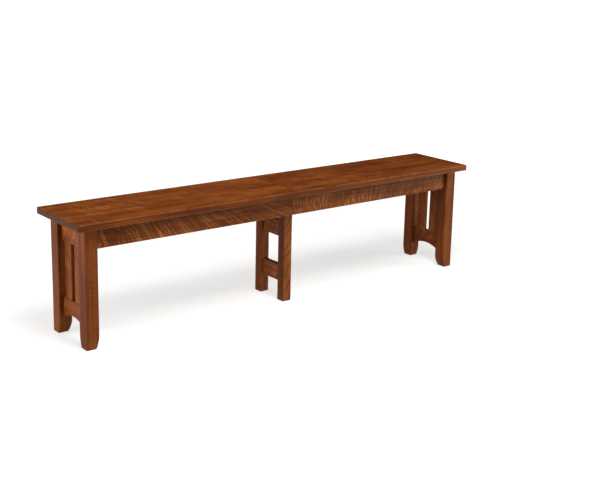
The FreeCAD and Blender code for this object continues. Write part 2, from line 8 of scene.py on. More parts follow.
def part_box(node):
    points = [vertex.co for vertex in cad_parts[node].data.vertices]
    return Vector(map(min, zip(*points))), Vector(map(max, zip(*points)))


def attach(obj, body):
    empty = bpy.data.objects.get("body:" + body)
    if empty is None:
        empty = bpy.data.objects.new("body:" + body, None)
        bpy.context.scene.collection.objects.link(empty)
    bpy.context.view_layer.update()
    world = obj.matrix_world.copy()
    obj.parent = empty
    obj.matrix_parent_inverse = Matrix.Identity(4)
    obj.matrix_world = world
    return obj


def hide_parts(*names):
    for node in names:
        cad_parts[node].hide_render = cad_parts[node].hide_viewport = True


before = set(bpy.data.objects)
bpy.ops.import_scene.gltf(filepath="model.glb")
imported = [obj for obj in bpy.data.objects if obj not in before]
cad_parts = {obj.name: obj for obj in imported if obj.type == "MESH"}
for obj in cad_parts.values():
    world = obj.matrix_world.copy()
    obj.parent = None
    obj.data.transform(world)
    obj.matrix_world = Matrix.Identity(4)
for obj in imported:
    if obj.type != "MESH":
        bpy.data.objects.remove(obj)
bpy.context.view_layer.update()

bl_info = {
    "name": "Extending oak bench",
    "version": (1, 0, 0),
    "blender": (4, 5, 0),
    "location": "3D View > Sidebar > Bench",
    "description": "Finishes the packed bench: stained oak, beech slides, gears, fixings and a studio",
    "category": "Object",
}

# Lengths are in metres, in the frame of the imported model: X along the bench, front at -Y, Z up.
HALVES = ("left", "right")
SIDES = ("front", "back")
AXES = {"X": 0, "Y": 1, "Z": 2}
MM = 0.001

# Settings that many nodes share.
EASED = {"interpolation_type": "SMOOTHSTEP"}
COLOURS = {"data_type": "RGBA"}
TIMES_PLUS = {"operation": "MULTIPLY_ADD"}

# Sockets of the node that mixes two colours.
FACTOR, FIRST, SECOND, MIX_RESULT = 0, 6, 7, 2

# How far a board's patterns are moved for each step of its seed, so that no two boards are alike.
BOARD_STEP = (1.37, 2.11, 0.73)

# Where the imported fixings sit, in millimetres: the faces that heads bear on, the height of the
# stop pins and leg bolts, and how far the two sets of slides are from the middle.
CLEAT_UNDERSIDE = 409.5
SLIDE_UNDERSIDE = 381.0
BOLSTER_UNDERSIDE = 355.0
POCKET_FLOOR = 411.0
PIN_HEIGHT = 395.0
SLIDE_LINES = (-55.0, 55.0)


def linear(colour):
    """A linear colour from its sRGB hex value."""
    parts = [int(colour[place:place + 2], 16) / 255 for place in (1, 3, 5)]
    return [p / 12.92 if p <= 0.04045 else ((p + 0.055) / 1.055) ** 2.4 for p in parts]


def tint(name, description, colour):
    """A colour setting with its default."""
    return bpy.props.FloatVectorProperty(
        name=name, description=description, subtype="COLOR", size=3, min=0.0, max=1.0,
        default=linear(colour))


def length(name, description, default):
    """A length setting with its default, in metres."""
    return bpy.props.FloatProperty(
        name=name, description=description, default=default, min=0.0, unit="LENGTH", precision=4)


def share(name, description, default):
    """A setting from 0 to 1 with its default."""
    return bpy.props.FloatProperty(
        name=name, description=description, default=default, min=0.0, max=1.0, subtype="FACTOR")


class OakSettings(bpy.types.PropertyGroup):
    """The stained and oiled oak that shows."""
    dark: tint("Dark stain", "Oak between the flecks, where the stain sinks in", "#622c0e")
    light: tint("Light stain", "Oak where it takes the least stain", "#914b1b")
    fleck: tint("Ray fleck", "Rays cut along their face, which take little stain", "#c28046")
    # The colour of the pores is also that of the painted shade under the seat's overhang.
    pore_and_shade_colour: tint("Pores", "Open pores filled with stain", "#35180a")
    end_grain: tint("End grain", "Ends of boards, which drink the most stain", "#663c20")
    fleck_spacing: length("Fleck spacing", "From one ray fleck to the next along the grain", 0.025)
    ring_width: length("Ring width", "Width of a growth ring on the quarter", 0.0032)
    gloss: share("Roughness", "Roughness of the oil and wax", 0.42)
    sheen: share("Sheen", "How strongly the oil and wax reflect", 0.09)
    # The pale arrises are partly scuffing and partly a painted highlight along them.
    arris_wear_and_highlight: share("Wear", "How pale the arrises are rubbed", 0.90)


class InnerSettings(bpy.types.PropertyGroup):
    """Timber and metal that are hidden while the bench is closed."""
    beech: tint("Beech", "Bare waxed beech of the slides", "#c49a6c")
    beech_ray: tint("Beech rays", "Short dark rays in the beech", "#9a6b42")
    maple: tint("Maple", "Clear lacquered maple of cleats, braces and bolster", "#c8a87c")
    maple_line: tint("Maple grain", "Growth lines in the maple", "#ab8357")
    zinc: tint("Zinc plate", "Bright zinc plating on screws, bolts and pins", "#b9bcc0")
    steel: tint("Steel", "Machined steel of the racks and pinions", "#8d8f92")
    cutter_mark: length("Cutter marks", "Spacing of the cutter marks on the gears", 0.0009)


class StudioSettings(bpy.types.PropertyGroup):
    """Camera, floor and lamps."""
    camera_place: bpy.props.FloatVectorProperty(
        name="Camera", description="Where the camera stands", subtype="XYZ", unit="LENGTH",
        default=(-2.4734, -3.2670, 1.3816))
    camera_turn: bpy.props.FloatProperty(
        name="Turn", description="How far the view turns from the back towards the right end",
        default=math.radians(39.123), subtype="ANGLE", unit="ROTATION")
    camera_tilt: bpy.props.FloatProperty(
        name="Tilt", description="How far the view looks down", default=math.radians(13.159),
        subtype="ANGLE", unit="ROTATION")
    camera_roll: bpy.props.FloatProperty(
        name="Roll", description="How far the camera leans", default=math.radians(1.449),
        subtype="ANGLE", unit="ROTATION")
    lens: bpy.props.FloatProperty(
        name="Lens", description="Focal length on a 36 mm wide frame, in millimetres", default=64.945,
        unit="CAMERA")
    shift: bpy.props.FloatVectorProperty(
        name="Shift", description="How far the lens is shifted, as a share of the frame", size=2,
        subtype="XYZ", default=(-0.01833, -0.09726))
    daylight: share("Daylight", "Even light from all round", 0.18)
    floor: tint("Floor", "Pale studio floor", "#d2d1cf")


def add(tree, kind, inputs=(), **settings):
    """Adds a node with its settings. Its inputs are listed in their order, or by name or number in a
    dictionary, and each takes a value or the socket that feeds it."""
    made = tree.nodes.new("ShaderNode" + kind)
    for name, value in settings.items():
        setattr(made, name, value)
    given = inputs if isinstance(inputs, dict) else dict(enumerate(inputs))
    for name, value in given.items():
        if isinstance(value, bpy.types.NodeSocket):
            tree.links.new(value, made.inputs[name])
        else:
            made.inputs[name].default_value = value
    return made


def opaque(colour):
    """A colour with full alpha, as a colour socket takes it."""
    return (*colour, 1.0)


def new_material(name):
    """An empty node material and its shader."""
    material = bpy.data.materials.new(name)
    material.use_nodes = True
    tree = material.node_tree
    tree.nodes.clear()
    shader = add(tree, "BsdfPrincipled")
    add(tree, "OutputMaterial", {"Surface": shader.outputs["BSDF"]})
    return material, tree, shader


def seen_rays(tree):
    """1 for rays from the camera and for those that metal and glass send on, 0 for light."""
    path = add(tree, "LightPath").outputs
    seen = add(tree, "Math", (path["Is Camera Ray"], path["Is Glossy Ray"]), operation="MAXIMUM")
    return add(tree, "Math", (seen.outputs[0], path["Is Transmission Ray"]),
               operation="MAXIMUM").outputs[0]


def patterned(tree, place, sizes, detail, seed=0.0):
    """A pattern whose cells have these sizes along, across and through the board, in millimetres,
    or none in a way where the size is 0. Most of its values lie between 0.3 and 0.7."""
    scale = [1 / (size * MM) if size else 0.0 for size in sizes]
    moved = add(tree, "VectorMath", (place, scale, (seed, seed, seed)), **TIMES_PLUS)
    return add(tree, "TexNoise", {"Vector": moved.outputs[0], "Scale": 1.0, "Detail": detail,
                                  "Roughness": 0.5}).outputs["Fac"]


def board_place(tree, node, grain, across):
    """Place on the board from its middle, turned so that X runs along the grain, Y across it and
    Z through it, and how squarely the surface there faces each of those ways."""
    low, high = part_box(node)
    middle = (low + high) / 2
    through = ({"X", "Y", "Z"} - {grain, across}).pop()
    coordinates = add(tree, "TexCoord").outputs
    from_middle = add(tree, "VectorMath", (coordinates["Object"], middle), operation="SUBTRACT")
    split = add(tree, "SeparateXYZ", (from_middle.outputs[0],)).outputs
    turned = [split[AXES[way]] for way in (grain, across, through)]
    place = add(tree, "CombineXYZ", turned).outputs[0]
    sides = add(tree, "VectorMath", (coordinates["Normal"],), operation="ABSOLUTE").outputs[0]
    facing = add(tree, "SeparateXYZ", (sides,)).outputs
    return place, [facing[AXES[way]] for way in (grain, across, through)]


def worn_and_highlit_edge(tree, place, reach=2.2):
    """A softened normal at the arrises, and where they are painted paler: partly where a hand or foot
    has scuffed them, partly a painted highlight along them. reach is how far the pale band goes in
    from an arris, in millimetres."""
    soft = add(tree, "Bevel", {"Radius": reach * MM}, samples=4).outputs["Normal"]
    flat = add(tree, "NewGeometry").outputs["Normal"]
    turn = add(tree, "VectorMath", (soft, flat), operation="DOT_PRODUCT").outputs["Value"]
    rubbed_and_highlit = add(tree, "MapRange", (turn, 0.86, 0.995, 1.0, 0.0), **EASED).outputs[0]
    breaks = patterned(tree, place, (50, 20, 20), 2.0, 4.4)
    broken = add(tree, "MapRange", (breaks, 0.35, 0.62, 0.25, 1.0), **EASED).outputs[0]
    return soft, add(tree, "Math", (rubbed_and_highlit, broken), operation="MULTIPLY").outputs[0]


def oak(node, grain, across, seed, lean=(0.0, 0.0, 0.0), curve=0.0, figure=1.0, fineness=1.0,
        patchy=0.55, bands=1.0, boards=0.0, tone=0.0, painted_overhang_shade=0.0, pale_arris_reach=2.2):
    """Quarter-sawn white oak, stained red-brown, oiled and waxed to a low sheen. Pale ray flecks
    cross the grain in ribbons on the quartered faces, rings and open pores run along it
    everywhere, end grain is darker, and the arrises are painted paler: partly scuffing, partly a
    painted highlight along them.
    lean says how far the flecks slide along the grain for each metre across it: at the middle of
    the board, how much more for each metre along, and how fast that grows. curve bends them.
    figure is how bold they are, fineness how close and patchy how uneven. bands is how clearly
    the wide growth bands show, and boards how wide the glued strips are. tone lightens the whole
    board, and dusk paints shade towards its top, from 46 mm below, where the seat's overhang
    shades it. rub is how far the pale band reaches in from an arris, in millimetres."""
    settings = bpy.context.scene.bench_oak
    material, tree, shader = new_material("oiled_oak_" + node)
    board, (facing_end, facing_edge, facing_quarter) = board_place(tree, node, grain, across)
    offset = [seed * step for step in BOARD_STEP]
    place = add(tree, "VectorMath", (board, offset), operation="ADD").outputs[0]
    along, over, _ = add(tree, "SeparateXYZ", (board,)).outputs
    board_tone = 0.0
    if boards:
        strip = add(tree, "Math", (over, 1 / boards, 0.37 + seed), **TIMES_PLUS).outputs[0]
        strip = add(tree, "Math", (strip,), operation="FLOOR").outputs[0]
        chance = add(tree, "TexWhiteNoise", {"W": strip}, noise_dimensions="1D").outputs
        place = add(tree, "VectorMath", (chance["Color"], (3.0, 0.2, 0.3), place),
                    **TIMES_PLUS).outputs[0]
        board_tone = add(tree, "Math", (chance["Value"], 0.10, -0.05), **TIMES_PLUS).outputs[0]

    # Ray flecks: ribbons slid along the grain by their lean, bolder in some patches than in others.
    slope = add(tree, "Math", (along, lean[2], lean[1]), **TIMES_PLUS).outputs[0]
    slope = add(tree, "Math", (slope, along, lean[0]), **TIMES_PLUS).outputs[0]
    slope = add(tree, "Math", (over, curve, slope), **TIMES_PLUS).outputs[0]
    slide = add(tree, "Math", (slope, over), operation="MULTIPLY").outputs[0]
    wander = patterned(tree, place, (60, 45, 0), 1.0, 1.9)
    slide = add(tree, "Math", (wander, 30 * MM, slide), **TIMES_PLUS).outputs[0]
    moved = add(tree, "CombineXYZ", (slide,)).outputs[0]
    leaning = add(tree, "VectorMath", (place, moved), operation="ADD").outputs[0]
    cell = settings.fleck_spacing / MM / 2 / fineness
    broad = patterned(tree, leaning, (cell, 100, 50), 1.0)
    broad = add(tree, "MapRange", (broad, 0.50, 0.61), **EASED).outputs[0]
    short = patterned(tree, leaning, (cell / 3, 30, 20), 1.0, 7.3)
    short = add(tree, "MapRange", (short, 0.52, 0.66), **EASED).outputs[0]
    strength = patterned(tree, place, (90, 60, 0), 1.0, 3.1)
    strength = add(tree, "MapRange", (strength, 0.36, 0.60, 1.0 - patchy, 1.0), **EASED).outputs[0]
    flecks = add(tree, "Math", (broad, strength), operation="MULTIPLY").outputs[0]
    flecks = add(tree, "Math", (short, 0.35, flecks), **TIMES_PLUS).outputs[0]
    quartered = add(tree, "MapRange", (facing_quarter, 0.60, 0.85, 0.0, figure), **EASED).outputs[0]
    flecks = add(tree, "Math", (flecks, quartered), operation="MULTIPLY", use_clamp=True).outputs[0]

    # Growth rings, and clouds of stain as long as a hand along the grain.
    ring = settings.ring_width / MM
    rings = patterned(tree, place, (300, ring, ring * 1.3), 3.0)
    wide = patterned(tree, place, (450, ring * 3.5, ring * 4.0), 1.0, 8.6)
    wide = add(tree, "Math", (wide, 0.5), operation="SUBTRACT").outputs[0]
    rings = add(tree, "Math", (wide, 0.7 * bands, rings), **TIMES_PLUS).outputs[0]
    cloud = patterned(tree, place, (280, 85, 85), 2.0, 5.7)
    level = add(tree, "Math", (rings, 0.85, cloud), **TIMES_PLUS).outputs[0]
    level = add(tree, "Math", (level, board_tone), operation="ADD").outputs[0]
    level = add(tree, "Math", (facing_edge, -0.07, level), **TIMES_PLUS).outputs[0]
    level = add(tree, "MapRange", (level, 0.62 - tone, 1.22 - tone), **EASED).outputs[0]
    stain = {FACTOR: level, FIRST: opaque(settings.dark), SECOND: opaque(settings.light)}
    stain = add(tree, "Mix", stain, **COLOURS).outputs[MIX_RESULT]
    pale = {FACTOR: level, FIRST: opaque(settings.light), SECOND: opaque(settings.fleck)}
    pale = add(tree, "Mix", pale, **COLOURS).outputs[MIX_RESULT]
    wood = add(tree, "Mix", {FACTOR: flecks, FIRST: stain, SECOND: pale}, **COLOURS).outputs[MIX_RESULT]

    # Pores are 0.3 mm wide on the real board. Here they are 0.8 mm, the least that shows.
    pores = patterned(tree, place, (10, 0.8, 0.8), 1.0, 9.4)
    pores = add(tree, "MapRange", (pores, 0.56, 0.70), **EASED).outputs[0]
    filled = add(tree, "Math", (pores, 0.5), operation="MULTIPLY").outputs[0]
    wood = add(tree, "Mix", {FACTOR: filled, FIRST: wood, SECOND: opaque(settings.pore_and_shade_colour)},
               **COLOURS).outputs[MIX_RESULT]
    end = add(tree, "MapRange", (facing_end, 0.75, 0.95), **EASED).outputs[0]
    drunk = {FACTOR: patterned(tree, place, (0, ring, 30), 2.0, 2.2), FIRST: opaque(settings.pore_and_shade_colour),
             SECOND: opaque(settings.end_grain)}
    drunk = add(tree, "Mix", drunk, **COLOURS).outputs[MIX_RESULT]
    wood = add(tree, "Mix", {FACTOR: end, FIRST: wood, SECOND: drunk}, **COLOURS).outputs[MIX_RESULT]
    # Painted shade: the board darkens towards its top, where the seat's overhang shades it.
    if painted_overhang_shade:
        low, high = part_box(node)
        top = (high.z - low.z) / 2
        painted_shade_mask = add(tree, "MapRange", (over, top - 46 * MM, top - 14 * MM, 0.0, painted_overhang_shade), **EASED).outputs[0]
        wood = add(tree, "Mix", {FACTOR: painted_shade_mask, FIRST: wood, SECOND: opaque(settings.pore_and_shade_colour)},
                   **COLOURS).outputs[MIX_RESULT]

    # Arrises are painted paler: partly scuffing, partly a painted highlight along them.
    # Arrises of end grain stay dark, as at the seam and the ends of the seat.
    soft, wear_and_highlight = worn_and_highlit_edge(tree, place, pale_arris_reach)
    endwise = add(tree, "SeparateXYZ", (soft,)).outputs[AXES[grain]]
    endwise = add(tree, "Math", (endwise,), operation="ABSOLUTE").outputs[0]
    sideways = add(tree, "MapRange", (endwise, 0.1, 0.5, 1.0, 0.0), **EASED).outputs[0]
    wear_and_highlight = add(tree, "Math", (wear_and_highlight, sideways), operation="MULTIPLY").outputs[0]
    wear_and_highlight = add(tree, "Math", (wear_and_highlight, settings.arris_wear_and_highlight), operation="MULTIPLY").outputs[0]
    wood = add(tree, "Mix", {FACTOR: wear_and_highlight, FIRST: wood, SECOND: opaque(settings.fleck)},
               **COLOURS).outputs[MIX_RESULT]
    tree.links.new(wood, shader.inputs["Base Color"])

    rough = (flecks, 0.0, 1.0, settings.gloss + 0.04, settings.gloss - 0.06)
    tree.links.new(add(tree, "MapRange", rough, **EASED).outputs[0], shader.inputs["Roughness"])
    shader.inputs["Specular IOR Level"].default_value = settings.sheen
    height = add(tree, "Math", (pores, -1.0, rings), **TIMES_PLUS).outputs[0]
    bump = add(tree, "Bump", {"Height": height, "Normal": soft, "Strength": 0.4, "Distance": 0.2 * MM})
    tree.links.new(bump.outputs["Normal"], shader.inputs["Normal"])
    dress(node, material)


def plain_timber(node, name, grain, across, seed, colour, line, rays):
    """Pale close-grained timber, planed and waxed or lacquered: faint growth lines and, in beech,
    short dark rays that read as dashes along the grain."""
    material, tree, shader = new_material(name + "_" + node)
    board, (facing_end, _, _) = board_place(tree, node, grain, across)
    offset = [seed * step for step in BOARD_STEP]
    place = add(tree, "VectorMath", (board, offset), operation="ADD").outputs[0]
    lines = patterned(tree, place, (250, 3.5, 4.5), 2.0)
    lines = add(tree, "MapRange", (lines, 0.36, 0.68), **EASED).outputs[0]
    # The dashes are 0.2 mm wide on real beech. Here they are 0.8 mm, the least that shows.
    dashes = patterned(tree, place, (4, 0.8, 0.8), 0.0, 6.1)
    dashes = add(tree, "MapRange", (dashes, 0.58, 0.68), **EASED).outputs[0]
    dark = add(tree, "Math", (lines, 0.55), operation="MULTIPLY").outputs[0]
    dark = add(tree, "Math", (dashes, rays, dark), **TIMES_PLUS).outputs[0]
    end = add(tree, "MapRange", (facing_end, 0.75, 0.95), **EASED).outputs[0]
    dark = add(tree, "Math", (end, 0.5, dark), **TIMES_PLUS).outputs[0]
    # Arrises are painted paler: partly scuffing, partly a painted highlight along them.
    soft, wear_and_highlight = worn_and_highlit_edge(tree, place)
    dark = add(tree, "Math", (dark, wear_and_highlight), operation="SUBTRACT", use_clamp=True).outputs[0]
    wood = add(tree, "Mix", {FACTOR: dark, FIRST: opaque(colour), SECOND: opaque(line)},
               **COLOURS).outputs[MIX_RESULT]
    tree.links.new(wood, shader.inputs["Base Color"])
    rough = add(tree, "MapRange", (lines, 0.0, 1.0, 0.50, 0.62), **EASED).outputs[0]
    tree.links.new(rough, shader.inputs["Roughness"])
    shader.inputs["Specular IOR Level"].default_value = 0.2
    bump = add(tree, "Bump", {"Height": lines, "Normal": soft, "Strength": 0.3, "Distance": 0.1 * MM})
    tree.links.new(bump.outputs["Normal"], shader.inputs["Normal"])
    dress(node, material)


def bright_metal(name, colour, mark_sizes, rough, depth):
    """Metal with fine marks of these sizes in millimetres: the cloudy bloom of zinc plating, or the
    lines that a gear cutter leaves. The marks change the gloss more than the colour."""
    material, tree, shader = new_material(name)
    place = add(tree, "TexCoord").outputs["Object"]
    marks = patterned(tree, place, mark_sizes, 2.0)
    stains = patterned(tree, place, (12, 12, 12), 2.0, 3.3)
    stains = add(tree, "MapRange", (stains, 0.40, 0.75), **EASED).outputs[0]
    stained = [0.62 * part for part in colour]
    shade = add(tree, "Mix", {FACTOR: stains, FIRST: opaque(colour), SECOND: opaque(stained)},
                **COLOURS)
    tree.links.new(shade.outputs[MIX_RESULT], shader.inputs["Base Color"])
    gloss = add(tree, "MapRange", (marks, 0.3, 0.7, rough - 0.08, rough + 0.12), **EASED).outputs[0]
    tree.links.new(gloss, shader.inputs["Roughness"])
    shader.inputs["Metallic"].default_value = 1.0
    bump = add(tree, "Bump", {"Height": marks, "Strength": 0.5, "Distance": depth})
    tree.links.new(bump.outputs["Normal"], shader.inputs["Normal"])
    return material


def dress(node, material):
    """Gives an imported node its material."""
    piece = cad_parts[node]
    piece.data.materials.clear()
    piece.data.materials.append(material)


def spun(form, outline, steps):
    """Adds the round shape whose outline is these pairs of radius and height, in millimetres."""
    points = [form.verts.new((radius * MM, 0.0, height * MM)) for radius, height in outline]
    lines = [form.edges.new(pair) for pair in zip(points, points[1:])]
    bmesh.ops.spin(form, geom=points + lines, cent=(0, 0, 0), axis=(0, 0, 1), angle=math.tau,
                   steps=steps, use_merge=True)
    bmesh.ops.remove_doubles(form, verts=form.verts, dist=1e-6)


def thread(radius, start, end, pitch):
    """Outline of a thread, drawn as a row of ridges."""
    turns = int((end - start) / pitch)
    crest, root = radius, radius - 0.55 * pitch
    return [(size, start + (turn + part) * pitch)
            for turn in range(turns) for size, part in ((root, 0.0), (crest, 0.5))]


def hexagon(form, across_flats, low, high):
    """Adds a hexagon with chamfered corners, as on a nut."""
    side = bmesh.ops.create_circle(form, cap_ends=True, segments=6,
                                   radius=across_flats / math.sqrt(3) * MM)
    bmesh.ops.translate(form, vec=(0, 0, low * MM), verts=side["verts"])
    base = [face for face in side["verts"][0].link_faces]
    raised = bmesh.ops.extrude_face_region(form, geom=base, use_keep_orig=True)["geom"]
    top = [part for part in raised if isinstance(part, bmesh.types.BMVert)]
    bmesh.ops.translate(form, vec=(0, 0, (high - low) * MM), verts=top)
    ends = [edge for edge in {edge for vert in side["verts"] + top for edge in vert.link_edges}
            if abs(edge.verts[0].co.z - edge.verts[1].co.z) < 1e-7]
    bmesh.ops.bevel(form, geom=ends, offset=0.5 * MM, affect="EDGES", segments=2, profile=0.5,
                    material=-1)


def wood_screw(full_length):
    """A countersunk wood screw with a cross recess; its head's face is at height 0."""
    form = bmesh.new()
    outline = [(4.3, 0.0), (4.95, 0.3), (2.3, 2.6), (2.3, 6.0)]
    outline += thread(2.5, max(6.0, full_length - 26.0), full_length - 4.0, 2.0)
    spun(form, outline + [(1.6, full_length - 3.5), (0.0, full_length)], 24)
    rim = [edge for edge in form.edges if edge.is_boundary]
    arm = [Vector((2.6, -0.6, 0.0)), Vector((2.6, 0.6, 0.0)), Vector((0.7, 0.7, 0.0))]
    turns = [Matrix.Rotation(quarter * math.pi / 2, 3, "Z") for quarter in range(4)]
    cross = [form.verts.new(turn @ point * MM) for turn in turns for point in arm]
    edges = [form.edges.new(pair) for pair in zip(cross, cross[1:] + cross[:1])]
    bmesh.ops.bridge_loops(form, edges=rim + edges)
    sunk = bmesh.ops.extrude_edge_only(form, edges=edges)["geom"]
    deep = [part for part in sunk if isinstance(part, bmesh.types.BMVert)]
    bmesh.ops.scale(form, vec=(0.6, 0.6, 1.0), verts=deep)
    bmesh.ops.translate(form, vec=(0, 0, 1.6 * MM), verts=deep)
    bmesh.ops.holes_fill(form, edges=[part for part in sunk if isinstance(part, bmesh.types.BMEdge)])
    return form


def hanger_bolt(full_length):
    """A threaded bolt in a leg's corner, with its washer and nut on the brace. Height 0 is its end
    in the leg."""
    form = bmesh.new()
    outline = [(0.0, 0.0), (3.2, 0.0)] + thread(4.0, 0.5, full_length - 0.8, 1.25)
    spun(form, outline + [(3.2, full_length), (0.0, full_length)], 20)
    nut = full_length - 3.0 - 6.5
    washer = [(4.3, nut - 1.6), (9.7, nut - 1.6), (10.0, nut - 1.3)]
    washer += [(10.0, nut - 0.3), (9.7, nut), (4.3, nut)]
    spun(form, washer + washer[:1], 32)
    hexagon(form, 13.0, nut, nut + 6.5)
    return form


def pinion_axle():
    """A shouldered screw: thread in the middle member, flange, journal and hexagon head."""
    form = bmesh.new()
    outline = [(0.0, -16.0), (2.0, -16.0)] + thread(3.0, -15.5, -0.8, 1.0)
    outline += [(3.0, 0.0), (6.7, 0.0), (7.0, 0.2), (7.0, 0.8), (6.7, 1.0)]
    outline += [(4.0, 1.0), (4.0, 9.6), (0.0, 9.6)]
    spun(form, outline, 32)
    hexagon(form, 13.0, 9.6, 11.6)
    return form


def stop_pin():
    """A plain steel pin with rounded ends, 9 mm long."""
    form = bmesh.new()
    spun(form, [(0.0, 0.0), (2.1, 0.0), (2.45, 0.35), (2.45, 8.65), (2.1, 9.0), (0.0, 9.0)], 24)
    return form


def fixings(name, places, material, body, node):
    """One piece made of a fixing at each place: its form, its point in millimetres and the way
    that its height runs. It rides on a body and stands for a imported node."""
    whole = bpy.data.meshes.new(name)
    gathered = bmesh.new()
    for make, point, way in places:
        form = make()
        turn = Vector(way).to_track_quat("Z", "Y").to_matrix().to_4x4()
        bmesh.ops.transform(form, matrix=Matrix.Translation(Vector(point) * MM) @ turn, verts=form.verts)
        bmesh.ops.recalc_face_normals(form, faces=form.faces)
        form.to_mesh(whole)
        form.free()
        gathered.from_mesh(whole)
    gathered.to_mesh(whole)
    gathered.free()
    whole.shade_smooth()
    whole.set_sharp_from_angle(angle=math.radians(35))
    whole.materials.append(material)
    piece = bpy.data.objects.new(name, whole)
    bpy.context.collection.objects.link(piece)
    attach(piece, body)
    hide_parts(node)


class BENCH_OT_seat(bpy.types.Operator):
    """Seat of each half, glued from oak strips"""
    bl_idname = "bench.seat"
    bl_label = "Seat"

    def execute(self, context):
        for place, half in enumerate(HALVES):
            # The seat's pale arrises reach 4.5 mm in: partly scuffing, partly a painted highlight along
            # them.
            oak(half + "_seat_top", "X", "Y", 7 + 3 * place, lean=(0.4, 0.5, 0.0),
                figure=0.45, fineness=1.5, patchy=0.95, bands=0.4, boards=0.079, tone=-0.035, pale_arris_reach=4.5)
        return {"FINISHED"}


class BENCH_OT_aprons(bpy.types.Operator):
    """Aprons, cut from the boards with the boldest ray fleck"""
    bl_idname = "bench.aprons"
    bl_label = "Aprons"

    def execute(self, context):
        # The aprons darken towards their tops: painted shade under the seat's overhang.
        oak("left_apron_front", "X", "Z", 11, lean=(1.03, 2.20, 2.10), curve=4.0, fineness=1.6,
            patchy=0.35, tone=0.03, painted_overhang_shade=0.6)
        oak("right_apron_front", "X", "Z", 12, lean=(-0.25, -1.00, -0.40), curve=-2.0,
            fineness=1.5, patchy=0.6, painted_overhang_shade=0.5)
        oak("left_apron_back", "X", "Z", 13, lean=(0.5, 0.9, 0.0), curve=2.0,
            fineness=1.4, painted_overhang_shade=0.4)
        oak("right_apron_back", "X", "Z", 14, lean=(-0.6, -1.2, 0.0), curve=-3.0,
            fineness=1.4, painted_overhang_shade=0.4)
        return {"FINISHED"}


class BENCH_OT_end_frames(bpy.types.Operator):
    """Legs, rails and slats of the two ends"""
    bl_idname = "bench.end_frames"
    bl_label = "End frames"

    def execute(self, context):
        for place, half in enumerate(HALVES):
            for number, side in enumerate(SIDES):
                seed = 21 + 4 * place + 2 * number
                # The back legs are painted 0.09 lighter than the front legs: painted light, for the
                # brighter light that falls on them.
                oak("%s_leg_%s" % (half, side), "Z", "X", seed, lean=(0.5, 0.6, 0.0),
                    figure=0.14, fineness=1.6, tone=0.09 * number - 0.03)
                oak("%s_slat_%s" % (half, side), "Z", "Y", seed + 1,
                    lean=(-0.4, 0.8, 0.0), figure=0.35, fineness=1.4, tone=0.03)
            for number, rail in enumerate(("upper", "lower")):
                oak("%s_%s_rail" % (half, rail), "Y", "Z", 31 + 2 * place + number,
                    lean=(0.6, 1.0, 0.0), figure=0.4, fineness=1.2, tone=-0.02)
        return {"FINISHED"}


class BENCH_OT_centre_frame(bpy.types.Operator):
    """Centre legs and the stretchers between them"""
    bl_idname = "bench.centre_frame"
    bl_label = "Centre frame"

    def execute(self, context):
        for number, side in enumerate(SIDES):
            oak("centre_leg_" + side, "Z", "X", 41 + number,
                lean=(-1.2, 0.8, 0.0), figure=0.9, fineness=2.6, tone=-0.06)
        for number, level in enumerate(("upper", "lower")):
            oak("centre_%s_stretcher" % level, "Y", "Z", 45 + number,
                lean=(0.5, 0.0, 0.0), figure=0.7, fineness=1.6, tone=-0.05)
        return {"FINISHED"}


class BENCH_OT_inner_timber(bpy.types.Operator):
    """Beech slides, and the maple bolster, cleats, braces and packing strips"""
    bl_idname = "bench.inner_timber"
    bl_label = "Slides and inner timber"

    def execute(self, context):
        inner = context.scene.bench_inner
        slides = ["%s_slide_%s" % (half, side) for half in HALVES for side in SIDES]
        slides += ["slide_middle_" + side for side in SIDES]
        for seed, node in enumerate(slides):
            plain_timber(node, "waxed_beech", "X", "Z", 51 + seed, inner.beech,
                         inner.beech_ray, 0.75)
        plain = {"slide_bolster": ("Y", "Z")}
        for half in HALVES:
            plain[half + "_packing_strips"] = ("X", "Y")
            plain[half + "_cleats"] = ("Y", "X")
            plain[half + "_corner_braces"] = ("X", "Z")
        for seed, (node, (grain, across)) in enumerate(plain.items()):
            plain_timber(node, "lacquered_maple", grain, across, 61 + seed,
                         inner.maple, inner.maple_line, 0.15)
        return {"FINISHED"}


class BENCH_OT_gears(bpy.types.Operator):
    """Steel racks and pinions, and the pins that align the halves"""
    bl_idname = "bench.gears"
    bl_label = "Gears and alignment pins"

    def execute(self, context):
        inner = context.scene.bench_inner
        cut = inner.cutter_mark / MM
        # Cutter marks run along the racks' teeth, straight up, so they vary along X and Y only.
        steel = bright_metal("machined_steel", inner.steel, (cut, cut * 4, 50), 0.34, 0.03 * MM)
        for half in HALVES:
            for side in SIDES:
                dress("%s_rack_%s" % (half, side), steel)
        for side in SIDES:
            dress("pinion_" + side, steel)
        zinc = bright_metal("zinc_plated_pins", inner.zinc, (4, 4, 4), 0.36, 0.02 * MM)
        dress("left_alignment_pins", zinc)
        return {"FINISHED"}


